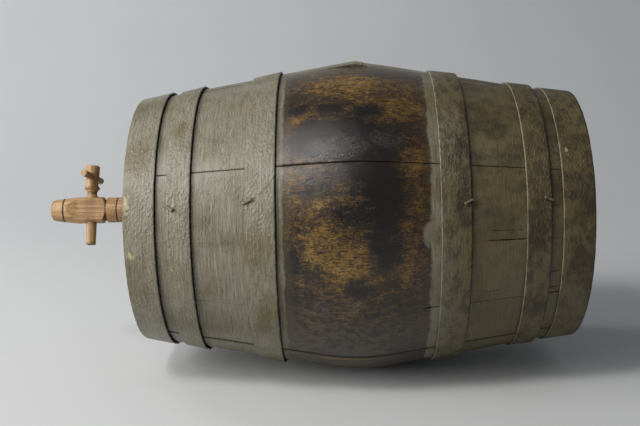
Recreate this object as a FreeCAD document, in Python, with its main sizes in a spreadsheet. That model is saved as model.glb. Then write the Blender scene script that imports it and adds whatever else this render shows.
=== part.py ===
import FreeCAD, Part
import Sketcher
import math
import os

# A small oak wine cask lying on its bilge, with a turned wooden tap in one head.
#
# Frame, in millimetres: the cask axis runs along X, with the tap at the -X end, and +Z is up.
# The origin is the middle of the flat worn under the bilge, which rests on the floor at Z = 0.
# A lean is an angle about the cask axis away from straight up: positive towards -Y.

Vector = FreeCAD.Vector
STAVE_COUNT = 14
BUNG_STAVE = 14
RESTING_STAVE = 7
BOARD_COUNT = 5

DIMENSIONS = (
    ("cask_length", 500, "rim to rim along the axis"),
    ("cone_radius", 184.6, "radius where the two outer cones would meet"),
    ("cone_slope", 0.1725, "radius lost per unit of length along each cone"),
    ("bend_half_length", 40, "half length of the arc that joins the cones"),
    ("stave_thickness", 19.5, "radial thickness of a stave"),
    ("seam_angle", 0.1, "angle left open between two staves"),
    ("flat_depth", 1.0, "depth of the flat worn under the bilge"),
    ("rim_wall", 10, "width of the flat rim left by the chime bevel"),
    ("chime_bevel_length", 20, "length of the bevel inside the rim"),
    ("croze_depth", 4.5, "depth of the groove that holds a head"),
    ("croze_mouth", 9, "width of the groove at the stave's face"),
    ("croze_floor", 5, "width of the groove at its bottom"),
    ("bung_radius", 13, "bung hole radius at the outside"),
    ("bung_taper", 0.06, "radius lost per unit of depth in the bung hole"),
    ("bung_fit", 0.06, "radial clearance of the bung in its hole"),
    ("bung_outer_radius", 182.2, "distance of the bung's outer end from the cask axis"),
    ("bung_length", 24, "length of the bung"),
    ("head_setback", 28, "rim to the outer face of a head"),
    ("head_thickness", 18, "thickness of a head board"),
    ("head_edge_width", 4, "width of a head's edge in the groove"),
    ("head_edge_gap", 0.35, "clearance between a head's edge and the groove's bottom"),
    ("head_bevel", 14.5, "radial width of the bevel round a head"),
    ("board_gap", 0.3, "gap between two head boards"),
    ("dowel_radius", 3, "head dowel radius"),
    ("dowel_length", 32, "head dowel length"),
    ("dowel_offset", 60, "distance of a dowel above or below the cask axis"),
    ("hoop_thickness", 2.2, "thickness of the hoop iron"),
    ("hoop_fit", 0.05, "clearance under the tight edge of a hoop"),
    ("hoop_lift", 1.4, "height of a hoop's loose edge above the staves"),
    ("chime_hoop_width", 35, "width of a chime hoop"),
    ("quarter_hoop_width", 26.5, "width of a quarter hoop"),
    ("bilge_hoop_width", 32, "width of a bilge hoop"),
    ("chime_hoop_centre", 232.5, "distance of a chime hoop's middle from the cask's middle"),
    ("quarter_hoop_centre", 189.25, "distance of a quarter hoop's middle"),
    ("bilge_hoop_centre", 101.5, "distance of a bilge hoop's middle"),
    ("lap_angle", 21, "angle over which a hoop's ends overlap"),
    ("rivet_shank_radius", 2.2, "hoop rivet shank radius"),
    ("rivet_head_radius", 4.6, "hoop rivet head radius at its base"),
    ("rivet_crown_radius", 2.6, "hoop rivet head radius at its top"),
    ("rivet_head_height", 1.9, "hoop rivet head height"),
    ("rivet_angle", 5.6, "angle of a rivet from the middle of the lap"),
    ("nail_shank_radius", 1.2, "hoop nail shank radius"),
    ("nail_length", 17, "hoop nail length under its head"),
    ("nail_head_radius", 4.5, "hoop nail head radius"),
    ("nail_crown_radius", 2.8, "hoop nail head radius at its top"),
    ("nail_head_height", 1.6, "hoop nail head height"),
    ("nail_clearance", 0.7, "gap between a nail's shank and the hoop's edge"),
    ("nail_head_gap", 0.35, "gap between the hoop's edge and the head over it"),
    ("tap_rise", 11.5, "height of the tap's axis above the cask's axis"),
    ("tap_lean", -20.5, "lean of the tap, whose key points away from the viewer"),
    ("tap_end", 367, "distance of the tap's nose from the cask's middle"),
    ("tap_nose_radius", 12.65, "tap radius at the nose"),
    ("tap_nose_round", 3.5, "rounding of the nose"),
    ("tap_ring_centre", 351.4, "distance of the burnt ring on the nose"),
    ("tap_ring_width", 1.6, "width of each burnt ring"),
    ("tap_ring_depth", 0.7, "depth of each burnt ring"),
    ("block_start", 336, "distance of the block's end towards the nose"),
    ("block_end", 305, "distance of the block's end towards the cask"),
    ("block_radius", 15.9, "radius of the block that holds the key"),
    ("block_flat", 10.1, "distance of the block's two flats from its axis"),
    ("flat_run_out", 2.5, "length over which the flats run out, per unit of their depth"),
    ("notch_bottom", 300.8, "distance of the turned notch's bottom"),
    ("notch_radius", 10.4, "radius at the notch's bottom"),
    ("shank_start", 299.6, "distance of the round shank's shoulder"),
    ("shank_radius", 15.1, "radius of the round shank"),
    ("shank_end", 284.5, "distance at which the shank starts to taper"),
    ("tail_end", 176, "distance of the tail's end inside the cask"),
    ("tail_radius", 12.4, "tail radius at its end"),
    ("tail_bore_radius", 4.5, "radius of the bore along the tail"),
    ("tap_hole_gap", 0.06, "radial clearance of the tail in the tap hole"),
    ("key_centre", 320, "distance of the key's axis from the cask's middle"),
    ("key_turn", -6, "angle by which the key stands off square"),
    ("key_plug_top", 7.4, "key radius at the top of its seat"),
    ("key_plug_bottom", 6.3, "key radius at the bottom of its seat"),
    ("key_fit", 0.06, "radial clearance of the key in its seat"),
    ("key_height", 54.6, "key's top above the tap axis"),
    ("key_head_top_radius", 8.55, "radius of the key's head at the top"),
    ("key_head_low_radius", 7.15, "radius of the key's head above the bead"),
    ("key_bead_height", 26.8, "height of the bead"),
    ("key_bead_radius", 9.25, "radius of the bead"),
    ("key_neck_height", 20.4, "height of the neck"),
    ("key_neck_radius", 5.75, "radius of the neck"),
    ("spout_length", 42.1, "spout's mouth below the tap axis"),
    ("spout_radius", 5.7, "spout radius at its mouth"),
    ("spout_bore_radius", 3.25, "radius of the bore up the spout"),
    ("port_radius", 3.25, "radius of the port through the key's side"),
    ("pin_height", 40.8, "height of the key pin above the tap axis"),
    ("pin_radius", 4, "key pin radius"),
    ("pin_length", 57, "key pin length"),
    ("pin_chamfer", 0.5, "chamfer on the key pin's ends"),
    ("spout_chamfer", 0.6, "chamfer round the spout's mouth"),
    ("neck_half_length", 1.2, "half the length of the key's neck"),
    ("bead_flare", 0.3, "swelling of the head beside the bead"),
    ("bead_low_foot", 2.2, "bead's middle to its foot towards the neck"),
    ("bead_low_edge", 0.9, "bead's middle to its edge towards the neck"),
    ("bead_high_edge", 0.7, "bead's middle to its edge towards the head"),
    ("bead_high_foot", 1.9, "bead's middle to its foot towards the head"),
    ("head_start", 4, "bead's middle to the narrowest place of the head"),
    ("key_head_round", 2.5, "rounding of the head's top"),
    ("shank_ring_inset", 2, "distance of the shank's burnt ring from the start of its taper"),
    ("bung_chamfer", 1.2, "chamfer on the bung's inner end"),
    ("dowel_hole_room", 1, "extra length of the holes for a dowel"),
    ("shank_overlap", 0.5, "how far a fastener's shank reaches into its head"),
    ("run_out", 6, "how far a cutting shape reaches past what it cuts"),
)

# Stave widths in degrees, from the stave in front of the bung stave round under the cask.
STAVE_WIDTHS = (27.5, 25, 28, 25, 25.5, 24.5, 26, 26, 25, 26, 26, 25, 24, 26.5)
FIRST_SEAM_LEAN = 7.5
# Positions of the joints between head boards, from -Y to +Y.
BOARD_JOINTS = (-83, -31, 31, 83)
NAIL_LEANS = (73, -31, -158)
# Lean of the middle of each hoop's lap, behind the cask.
HOOP_LAPS = (("chime", -86), ("quarter", -99), ("bilge", -92))


class Size:
    """A number together with the expression on the sheet's cells that gives it."""

    def __init__(self, value, text):
        self.value = value
        self.text = text

    def join(self, sign, other, value):
        return Size(value, f"({self.text} {sign} {as_size(other).text})")

    def __add__(self, other):
        return self.join("+", other, self.value + as_size(other).value)

    def __sub__(self, other):
        return self.join("-", other, self.value - as_size(other).value)

    def __mul__(self, other):
        return self.join("*", other, self.value * as_size(other).value)

    def __truediv__(self, other):
        return self.join("/", other, self.value / as_size(other).value)

    def __neg__(self):
        return Size(-self.value, f"(0 - {self.text})")

    def root(self):
        return Size(math.sqrt(self.value), f"sqrt({self.text})")


def as_size(number):
    return number if isinstance(number, Size) else Size(float(number), str(float(number)))


def make_sheet(doc):
    sheet = doc.addObject("Spreadsheet::Sheet", "Sizes")
    rows = list(DIMENSIONS)
    rows += [(f"stave_width_{number:02d}", width, "width of a stave in degrees")
             for number, width in enumerate(STAVE_WIDTHS, 1)]
    rows += [(f"board_joint_{number}", place, "Y of a joint between head boards")
             for number, place in enumerate(BOARD_JOINTS, 1)]
    for row, (name, value, note) in enumerate(rows, 1):
        sheet.set(f"A{row}", note)
        sheet.set(f"B{row}", str(value))
        sheet.setAlias(f"B{row}", name)
    doc.recompute()
    return sheet


class Builder:
    """The document, its sheet, and the sub-parts made so far."""

    def __init__(self):
        self.doc = FreeCAD.newDocument("cask")
        self.sheet = make_sheet(self.doc)
        self.nodes = []
        half = self.cell("cask_length") / 2
        slope = self.cell("cone_slope")
        bend = self.cell("bend_half_length")
        self.half = half
        self.bend_radius = bend * (slope * slope + 1).root() / slope
        self.bilge_radius = self.cone(bend) - bend / slope + self.bend_radius
        self.axis_height = (self.bilge_radius - self.cell("flat_depth")).value

    def cell(self, name):
        return Size(float(getattr(self.sheet, name)), f"Sizes.{name}")

    def cone(self, distance):
        """Radius of the outer cone at a distance from the cask's middle."""
        return self.cell("cone_radius") - self.cell("cone_slope") * distance

    def place(self, lean=0.0, along=0.0, turn=0.0, rise=0.0):
        """A placement on or above the cask axis, leaning and turned about the leaning upright."""
        leaning = FreeCAD.Rotation(Vector(1, 0, 0), lean)
        turned = leaning.multiply(FreeCAD.Rotation(Vector(0, 0, 1), turn))
        return FreeCAD.Placement(Vector(along, 0, self.axis_height + rise), turned)

    def keep(self, thing, label, placement=None):
        """Take a finished object as the sub-part with this name."""
        thing.Label = label
        if placement is not None:
            thing.Placement = placement
        self.nodes.append(thing)
        return thing

    def body(self, name):
        return self.doc.addObject("PartDesign::Body", name)


def bind(thing, **sizes):
    for name, size in sizes.items():
        size = as_size(size)
        setattr(thing, name, size.value)
        thing.setExpression(name, size.text)


def new_sketch(body, plane):
    features = {feature.Role: feature for feature in body.Origin.OriginFeatures}
    sketch = body.newObject("Sketcher::SketchObject", "Sketch")
    sketch.AttachmentSupport = [(features[plane], "")]
    sketch.MapMode = "FlatFace"
    return sketch


def hold_point(sketch, geometry, vertex, across, up):
    """Tie a sketch point to its two coordinates."""
    for kind, axis, size in (("DistanceX", -2, across), ("DistanceY", -1, up)):
        if abs(size.value) < 1e-9:
            sketch.addConstraint(Sketcher.Constraint("PointOnObject", geometry, vertex, axis))
            continue
        index = sketch.addConstraint(
            Sketcher.Constraint(kind, -1, 1, geometry, vertex, size.value))
        sketch.setExpression(f"Constraints[{index}]", size.text)


def point_of(corner):
    return Vector(corner[0].value, corner[1].value, 0)


def add_arc(sketch, start, end, radius, bulge):
    """Add an arc between two corners, on the side that bulge gives: +1 is up, -1 is down."""
    first = point_of(start)
    last = point_of(end)
    chord = last - first
    rise = math.sqrt(radius.value ** 2 - chord.Length ** 2 / 4)
    across = Vector(-chord.y, chord.x, 0).normalize()
    if across.y * bulge < 0:
        across = across * -1
    centre = (first + last) * 0.5 - across * rise
    angles = [math.atan2(point.y - centre.y, point.x - centre.x) for point in (first, last)]
    forward = (angles[1] - angles[0]) % (2 * math.pi) < math.pi
    ends = (1, 2) if forward else (2, 1)
    low, high = angles if forward else reversed(angles)
    circle = Part.Circle(centre, Vector(0, 0, 1), radius.value)
    return sketch.addGeometry(Part.ArcOfCircle(circle, low, high), False), ends


def draw_outline(sketch, corners, arcs=None):
    """Close a line through corners, with arcs {corner number: (radius, bulge)} after some."""
    arcs = arcs or {}
    corners = [(as_size(across), as_size(up)) for across, up in corners]
    count = len(corners)
    edges = []
    for number, corner in enumerate(corners):
        following = corners[(number + 1) % count]
        if number in arcs:
            radius, bulge = arcs[number]
            edges.append(add_arc(sketch, corner, following, radius, bulge))
            continue
        line = Part.LineSegment(point_of(corner), point_of(following))
        edges.append((sketch.addGeometry(line, False), (1, 2)))
    for number in range(count):
        geometry, ends = edges[number]
        other, other_ends = edges[(number + 1) % count]
        sketch.addConstraint(
            Sketcher.Constraint("Coincident", geometry, ends[1], other, other_ends[0]))
    for number, (across, up) in enumerate(corners):
        geometry, ends = edges[number]
        hold_point(sketch, geometry, ends[0], across, up)
    for number, (radius, _) in arcs.items():
        index = sketch.addConstraint(
            Sketcher.Constraint("Radius", edges[number][0], radius.value))
        sketch.setExpression(f"Constraints[{index}]", radius.text)


def turn_outline(body, corners, arcs=None, kind="Revolution", angle=360, about="H_Axis"):
    """Turn an outline drawn in the XZ plane about one of its axes, evenly to both sides."""
    sketch = new_sketch(body, "XZ_Plane")
    draw_outline(sketch, corners, arcs)
    feature = body.newObject(f"PartDesign::{kind}", kind)
    feature.Profile = sketch
    feature.ReferenceAxis = (sketch, [about])
    feature.Midplane = True
    bind(feature, Angle=angle)
    return feature


def stave_outline(build, kinked):
    """Long section of a stave: outside, rim, chime bevel, croze and inside, for both ends."""
    half = build.half
    thickness = build.cell("stave_thickness")
    bend = build.cell("bend_half_length")
    bevel_start = half - build.cell("chime_bevel_length")
    croze = half - build.cell("head_setback") - build.cell("head_thickness") / 2
    mouth = build.cell("croze_mouth") / 2
    floor = build.cell("croze_floor") / 2
    depth = build.cell("croze_depth")

    def inside(distance):
        return build.cone(distance) - thickness

    end = (
        (half, build.cone(half)),
        (half, build.cone(half) - build.cell("rim_wall")),
        (bevel_start, inside(bevel_start)),
        (croze + mouth, inside(croze + mouth)),
        (croze + floor, inside(croze) + depth),
        (croze - floor, inside(croze) + depth),
        (croze - mouth, inside(croze - mouth)),
    )
    other_end = [(-across, up) for across, up in reversed(end)]
    if kinked:
        apex = (as_size(0), build.cell("cone_radius"))
        inner_apex = (as_size(0), build.cell("cone_radius") - thickness)
        return [apex, *end, inner_apex, *other_end], None
    outer = [(-bend, build.cone(bend)), (bend, build.cone(bend))]
    inner = [(bend, inside(bend)), (-bend, inside(bend))]
    corners = [*outer, *end, *inner, *other_end]
    first_inner = len(outer) + len(end)
    arcs = {0: (build.bend_radius, 1), first_inner: (build.bend_radius, 1)}
    return corners, arcs


def make_staves(build):
    seam = build.cell("seam_angle")
    lean = as_size(FIRST_SEAM_LEAN)
    for number in range(1, STAVE_COUNT + 1):
        width = build.cell(f"stave_width_{number:02d}")
        middle = lean + width / 2
        lean = lean + width
        kinked = number == BUNG_STAVE
        label = "bung_stave" if kinked else f"stave_{number:02d}"
        body = build.body("Stave")
        corners, arcs = stave_outline(build, kinked)
        turn_outline(body, corners, arcs, angle=width - seam)
        body.Placement = build.place(middle.value)
        if kinked:
            cut_bung_hole(build, body)
            make_bung(build, middle.value)
        if number == RESTING_STAVE:
            body = wear_flat(build, body)
        build.keep(body, label)


def wear_flat(build, stave):
    """Take away what would reach below the floor from the stave that the cask rests on."""
    reach = build.cell("cask_length") / 4
    depth = build.cell("stave_thickness")
    below = build.doc.addObject("Part::Box", "BelowFloor")
    bind(below, Length=reach, Width=reach, Height=depth)
    below.Placement.Base = Vector(-reach.value / 2, -reach.value / 2, -depth.value)
    worn = build.doc.addObject("Part::Cut", "WornStave")
    worn.Base = stave
    worn.Tool = below
    return worn


def bung_radius_at(build, height):
    depth = build.cell("bung_outer_radius") - height
    return build.cell("bung_radius") - build.cell("bung_taper") * depth


def cut_bung_hole(build, body):
    fit = build.cell("bung_fit")
    run_out = build.cell("run_out")
    top = build.cell("cone_radius") + run_out
    bottom = build.cell("cone_radius") - build.cell("stave_thickness") - run_out
    corners = (
        (0, bottom),
        (bung_radius_at(build, bottom) + fit, bottom),
        (bung_radius_at(build, top) + fit, top),
        (0, top),
    )
    turn_outline(body, corners, kind="Groove", about="V_Axis")


def make_bung(build, lean):
    top = build.cell("bung_outer_radius")
    bottom = top - build.cell("bung_length")
    chamfer = build.cell("bung_chamfer")
    body = build.body("bung")
    corners = (
        (0, bottom),
        (bung_radius_at(build, bottom) - chamfer, bottom),
        (bung_radius_at(build, bottom + chamfer), bottom + chamfer),
        (bung_radius_at(build, top), top),
        (0, top),
    )
    turn_outline(body, corners, about="V_Axis")
    build.keep(body, "bung", build.place(lean))


def head_outline(build, side):
    """Half section of a head, from its middle to the edge that sits in the croze."""
    outer = build.half - build.cell("head_setback")
    inner = outer - build.cell("head_thickness")
    middle = (outer + inner) / 2
    edge = build.cell("head_edge_width") / 2
    groove = build.cone(middle) - build.cell("stave_thickness") + build.cell("croze_depth")
    rim = groove - build.cell("head_edge_gap")
    face = rim - build.cell("head_bevel")
    corners = (
        (outer, 0),
        (outer, face),
        (middle + edge, rim),
        (middle - edge, rim),
        (inner, face),
        (inner, 0),
    )
    return [(as_size(across) * side, up) for across, up in corners], middle * side


def saw_board(build, body, number):
    """Cut a head down to one board by taking away what lies past its two joints."""
    reach = build.half
    gap = build.cell("board_gap") / 2
    sketch = new_sketch(body, "YZ_Plane")
    if number > 1:
        edge = build.cell(f"board_joint_{number - 1}") + gap
        draw_outline(sketch, ((edge, -reach), (edge, reach), (-reach, reach), (-reach, -reach)))
    if number < BOARD_COUNT:
        edge = build.cell(f"board_joint_{number}") - gap
        draw_outline(sketch, ((edge, -reach), (reach, -reach), (reach, reach), (edge, reach)))
    pocket = body.newObject("PartDesign::Pocket", "Pocket")
    pocket.Profile = sketch
    pocket.Midplane = True
    bind(pocket, Length=build.cell("cask_length") * 2)


def drill_dowel_holes(build, body, joint, middle):
    """Drill the two dowel holes that cross one joint of a head."""
    sketch = new_sketch(body, "XZ_Plane")
    sketch.AttachmentOffset = FreeCAD.Placement(Vector(0, 0, -joint.value), FreeCAD.Rotation())
    sketch.setExpression("AttachmentOffset.Base.z", (-joint).text)
    for sign in (-1, 1):
        height = build.cell("dowel_offset") * sign
        radius = build.cell("dowel_radius")
        centre = Vector(middle.value, height.value, 0)
        circle = Part.Circle(centre, Vector(0, 0, 1), radius.value)
        index = sketch.addGeometry(circle, False)
        hold_point(sketch, index, 3, middle, height)
        held = sketch.addConstraint(Sketcher.Constraint("Radius", index, radius.value))
        sketch.setExpression(f"Constraints[{held}]", radius.text)
    pocket = body.newObject("PartDesign::Pocket", "DowelHoles")
    pocket.Profile = sketch
    pocket.Midplane = True
    bind(pocket, Length=build.cell("dowel_length") + build.cell("dowel_hole_room"))


def make_dowels(build, label, middle):
    dowels = []
    length = build.cell("dowel_length")
    for number in range(1, BOARD_COUNT):
        joint = build.cell(f"board_joint_{number}")
        for sign in (-1, 1):
            dowel = build.doc.addObject("Part::Cylinder", "Dowel")
            bind(dowel, Radius=build.cell("dowel_radius"), Height=length)
            height = sign * build.cell("dowel_offset").value
            start = Vector(middle.value, joint.value - length.value / 2, height)
            dowel.Placement = FreeCAD.Placement(start, FreeCAD.Rotation(Vector(1, 0, 0), -90))
            dowels.append(dowel)
    group = build.doc.addObject("Part::Compound", label)
    group.Links = dowels
    build.keep(group, label, build.place())


def tail_radius_at(build, distance):
    start = build.cell("shank_end")
    loss = build.cell("shank_radius") - build.cell("tail_radius")
    share = (start - distance) / (start - build.cell("tail_end"))
    return build.cell("shank_radius") - loss * share


def bore_tap_hole(build, body):
    gap = build.cell("tap_hole_gap")
    run_out = build.cell("run_out")
    outer = build.half - build.cell("head_setback") + run_out
    inner = outer - build.cell("head_thickness") - run_out * 2
    rise = build.cell("tap_rise")
    corners = (
        (-outer, rise),
        (-outer, rise + tail_radius_at(build, outer) + gap),
        (-inner, rise + tail_radius_at(build, inner) + gap),
        (-inner, rise),
    )
    turn_outline(body, corners, kind="Groove", about="Edge4")


def make_head(build, end, side):
    for number in range(1, BOARD_COUNT + 1):
        label = f"{end}_head_board_{number}"
        body = build.body(label)
        corners, middle = head_outline(build, side)
        turn_outline(body, corners)
        saw_board(build, body, number)
        for joint in (number - 1, number):
            if 1 <= joint < BOARD_COUNT:
                drill_dowel_holes(build, body, build.cell(f"board_joint_{joint}"), middle)
        if end == "tap_end" and number == (BOARD_COUNT + 1) // 2:
            bore_tap_hole(build, body)
        build.keep(body, label, build.place())
    make_dowels(build, f"{end}_head_dowels", middle)


def hoop_radius(build, place, side, across):
    """Inside radius of a hoop, across its width from 0 at its -X edge to 1 at its +X edge."""
    width = build.cell(f"{place}_hoop_width")
    centre = build.cell(f"{place}_hoop_centre") * side
    edge = centre + width * (across - 0.5)
    stave = build.cone(edge * side)
    lift = build.cell("hoop_fit") + (build.cell("hoop_lift") - build.cell("hoop_fit")) * across
    return edge, stave + lift


def make_hoop(build, end, place, side, lean):
    """A conical hoop whose ends overlap: a full ring and an outer layer over the lap."""
    iron = build.cell("hoop_thickness")
    first, first_radius = hoop_radius(build, place, side, 0)
    last, last_radius = hoop_radius(build, place, side, 1)
    label = f"{end}_{place}_hoop"
    body = build.body(label)
    for layer, angle in ((0, as_size(360)), (1, build.cell("lap_angle"))):
        corners = (
            (first, first_radius + iron * layer),
            (last, last_radius + iron * layer),
            (last, last_radius + iron * (layer + 1)),
            (first, first_radius + iron * (layer + 1)),
        )
        turn_outline(body, corners, angle=angle)
    build.keep(body, label, build.place(lean))


def round_headed(build, shank_radius, shank_length, head_radius, crown_radius, head_height):
    """A fastener standing on the XY plane: the shank hangs below it and the head is above."""
    shank = build.doc.addObject("Part::Cylinder", "Shank")
    bind(shank, Radius=shank_radius, Height=shank_length + build.cell("shank_overlap"))
    shank.Placement.Base = Vector(0, 0, -shank_length.value)
    head = build.doc.addObject("Part::Cone", "Head")
    bind(head, Radius1=head_radius, Radius2=crown_radius, Height=head_height)
    fastener = build.doc.addObject("Part::Fuse", "Fastener")
    fastener.Base = shank
    fastener.Tool = head
    return fastener


def stand_on(fastener, along, radius, lean, tilt=0.0):
    """Stand a fastener at a radius from the cask axis, along the radius at that lean."""
    leaning = FreeCAD.Rotation(Vector(1, 0, 0), lean)
    upright = leaning.multiply(FreeCAD.Rotation(Vector(0, 1, 0), tilt))
    fastener.Placement = FreeCAD.Placement(
        Vector(along, 0, 0) + leaning.multVec(Vector(0, 0, radius)), upright)


def make_rivets(build, end, place, side, lean):
    iron = build.cell("hoop_thickness")
    width = build.cell(f"{place}_hoop_width").value
    rise = build.cell("cone_slope").value * -side + build.cell("hoop_lift").value / width
    rivets = []
    for sign in (-1, 1):
        along, radius = hoop_radius(build, place, side, 0.5)
        rivet = round_headed(
            build,
            build.cell("rivet_shank_radius"),
            iron * 2,
            build.cell("rivet_head_radius"),
            build.cell("rivet_crown_radius"),
            build.cell("rivet_head_height"),
        )
        spread = sign * build.cell("rivet_angle").value
        tilt = -math.degrees(math.atan(rise))
        stand_on(rivet, along.value, radius.value + 2 * iron.value, lean + spread, tilt)
        rivets.append(rivet)
    label = f"{end}_{place}_rivets"
    group = build.doc.addObject("Part::Compound", label)
    group.Links = rivets
    build.keep(group, label, build.place())


def make_nails(build, end, place, side):
    """Three nails beside a hoop's edge towards the head, whose heads lap over the hoop."""
    iron = build.cell("hoop_thickness").value
    outward = 0 if side < 0 else 1
    edge, radius = hoop_radius(build, place, side, outward)
    offset = build.cell("nail_shank_radius").value + build.cell("nail_clearance").value
    tilt = math.degrees(math.atan(build.cell("cone_slope").value)) * side
    nails = []
    for lean in NAIL_LEANS:
        nail = round_headed(
            build,
            build.cell("nail_shank_radius"),
            build.cell("nail_length"),
            build.cell("nail_head_radius"),
            build.cell("nail_crown_radius"),
            build.cell("nail_head_height"),
        )
        above = radius.value + iron + build.cell("nail_head_gap").value
        stand_on(nail, edge.value + offset * side, above, lean, tilt)
        nails.append(nail)
    label = f"{end}_{place}_nails"
    group = build.doc.addObject("Part::Compound", label)
    group.Links = nails
    build.keep(group, label, build.place())


def make_end(build, end, side):
    """Everything of one half: its head, hoops, rivets and nails."""
    make_head(build, end, side)
    for place, lean in HOOP_LAPS:
        make_hoop(build, end, place, side, lean)
        make_rivets(build, end, place, side, lean)
    make_nails(build, end, "quarter", side)
    make_nails(build, end, "bilge", side)


def seat_radius_at(build, height):
    """Radius of the key's tapered seat at a height above the tap axis."""
    reach = build.cell("block_radius")
    middle = (build.cell("key_plug_top") + build.cell("key_plug_bottom")) / 2
    slope = (build.cell("key_plug_top") - build.cell("key_plug_bottom")) / (reach * 2)
    return middle + slope * height


def ring_cut(build, centre, radius):
    """Corners of a burnt ring: a shallow V-shaped cut."""
    half_width = build.cell("tap_ring_width") / 2
    return (
        (-(centre + half_width), radius),
        (-centre, radius - build.cell("tap_ring_depth")),
        (-(centre - half_width), radius),
    )


def make_tap_body(build):
    nose = build.cell("tap_end")
    nose_radius = build.cell("tap_nose_radius")
    rounding = build.cell("tap_nose_round")
    ring = build.cell("tap_ring_centre")
    block = build.cell("block_start")
    shank_ring = build.cell("shank_end") + build.cell("shank_ring_inset")
    swell = (nose - ring) / (nose - block) * (build.cell("block_radius") - nose_radius)
    body = build.body("tap_body")
    corners = [
        (-nose, 0),
        (-nose, nose_radius - rounding),
        (-(nose - rounding), nose_radius),
        *ring_cut(build, ring, nose_radius + swell),
        (-block, build.cell("block_radius")),
        (-build.cell("block_end"), build.cell("block_radius")),
        (-build.cell("notch_bottom"), build.cell("notch_radius")),
        (-build.cell("shank_start"), build.cell("shank_radius")),
        *ring_cut(build, shank_ring, build.cell("shank_radius")),
        (-build.cell("shank_end"), build.cell("shank_radius")),
        (-build.cell("tail_end"), build.cell("tail_radius")),
        (-build.cell("tail_end"), 0),
    ]
    turn_outline(body, corners, {1: (rounding, 1)})
    cut_tap_flats(build, body)
    bore_tap(build, body)
    build.keep(body, "tap_body", tap_placement(build))


def tap_placement(build, along=0.0, turn=0.0):
    """A placement on the tap's axis, leaning as the tap does."""
    return build.place(build.cell("tap_lean").value, along, turn, build.cell("tap_rise").value)


def cut_tap_flats(build, body):
    """Two flats on the block, either side of the key."""
    start = -build.cell("block_start")
    end = -build.cell("notch_bottom")
    flat = build.cell("block_flat")
    past = build.cell("block_radius") + build.cell("run_out")
    sketch = new_sketch(body, "XY_Plane")
    for side in (-1, 1):
        near = flat * side
        far = past * side
        slant = start - (past - flat) * build.cell("flat_run_out")
        draw_outline(sketch, ((start, near), (end, near), (end, far), (slant, far)))
    pocket = body.newObject("PartDesign::Pocket", "Flats")
    pocket.Profile = sketch
    pocket.Midplane = True
    bind(pocket, Length=build.cell("block_radius") * 4)


def bore_tap(build, body):
    """The seat of the key across the block, and the bore from the tail to that seat."""
    key = -build.cell("key_centre")
    reach = build.cell("block_radius") + build.cell("run_out")
    low = seat_radius_at(build, -reach)
    high = seat_radius_at(build, reach)
    sketch = new_sketch(body, "XZ_Plane")
    draw_outline(sketch, ((key, -reach), (key + low, -reach), (key + high, reach), (key, reach)))
    seat = body.newObject("PartDesign::Groove", "KeySeat")
    seat.Profile = sketch
    seat.ReferenceAxis = (sketch, ["Edge4"])
    seat.Midplane = True
    bind(seat, Angle=360)
    tail = -build.cell("tail_end") + build.cell("run_out")
    radius = build.cell("tail_bore_radius")
    corners = ((key, 0), (tail, 0), (tail, radius), (key, radius))
    turn_outline(body, corners, kind="Groove")


def make_tap_key(build):
    """The key: head, bead, neck, tapered plug and spout, turned about its own upright."""
    fit = build.cell("key_fit")
    reach = build.cell("block_radius")
    top = build.cell("key_height")
    head = build.cell("key_head_top_radius")
    low_head = build.cell("key_head_low_radius")
    bead = build.cell("key_bead_height")
    bead_radius = build.cell("key_bead_radius")
    neck = build.cell("key_neck_height")
    neck_radius = build.cell("key_neck_radius")
    mouth = -build.cell("spout_length")
    body = build.body("tap_key")
    chamfer = build.cell("spout_chamfer")
    half_neck = build.cell("neck_half_length")
    bead_foot = low_head + build.cell("bead_flare")
    rounding = build.cell("key_head_round")
    corners = (
        (0, mouth),
        (build.cell("spout_radius") - chamfer, mouth),
        (build.cell("spout_radius"), mouth + chamfer),
        (seat_radius_at(build, -reach) - fit, -reach),
        (seat_radius_at(build, reach) - fit, reach),
        (neck_radius, neck - half_neck),
        (neck_radius, neck + half_neck),
        (bead_foot, bead - build.cell("bead_low_foot")),
        (bead_radius, bead - build.cell("bead_low_edge")),
        (bead_radius, bead + build.cell("bead_high_edge")),
        (bead_foot, bead + build.cell("bead_high_foot")),
        (low_head, bead + build.cell("head_start")),
        (head, top - rounding),
        (head - rounding, top),
        (0, top),
    )
    rounded_corner = len(corners) - 3
    turn_outline(body, corners, {rounded_corner: (rounding, 1)}, about="V_Axis")
    bore_key(build, body, mouth)
    build.keep(body, "tap_key", key_placement(build))


def key_placement(build):
    return tap_placement(build, -build.cell("key_centre").value, build.cell("key_turn").value)


def bore_key(build, body, mouth):
    """The bore up the spout, the port that meets it, and the hole for the pin."""
    port = build.cell("port_radius")
    spout = build.cell("spout_bore_radius")
    past = mouth - build.cell("run_out")
    corners = ((0, past), (spout, past), (spout, port), (0, port))
    turn_outline(body, corners, kind="Groove", about="V_Axis")
    for name, height, radius, through in (
        ("Port", as_size(0), port, False),
        ("PinHole", build.cell("pin_height"), build.cell("pin_radius"), True),
    ):
        sketch = new_sketch(body, "XZ_Plane")
        circle = Part.Circle(Vector(0, height.value, 0), Vector(0, 0, 1), radius.value)
        index = sketch.addGeometry(circle, False)
        hold_point(sketch, index, 3, as_size(0), height)
        held = sketch.addConstraint(Sketcher.Constraint("Radius", index, radius.value))
        sketch.setExpression(f"Constraints[{held}]", radius.text)
        pocket = body.newObject("PartDesign::Pocket", name)
        pocket.Profile = sketch
        pocket.Midplane = through
        bind(pocket, Length=build.cell("block_radius") * (2 if through else 1))


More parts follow.
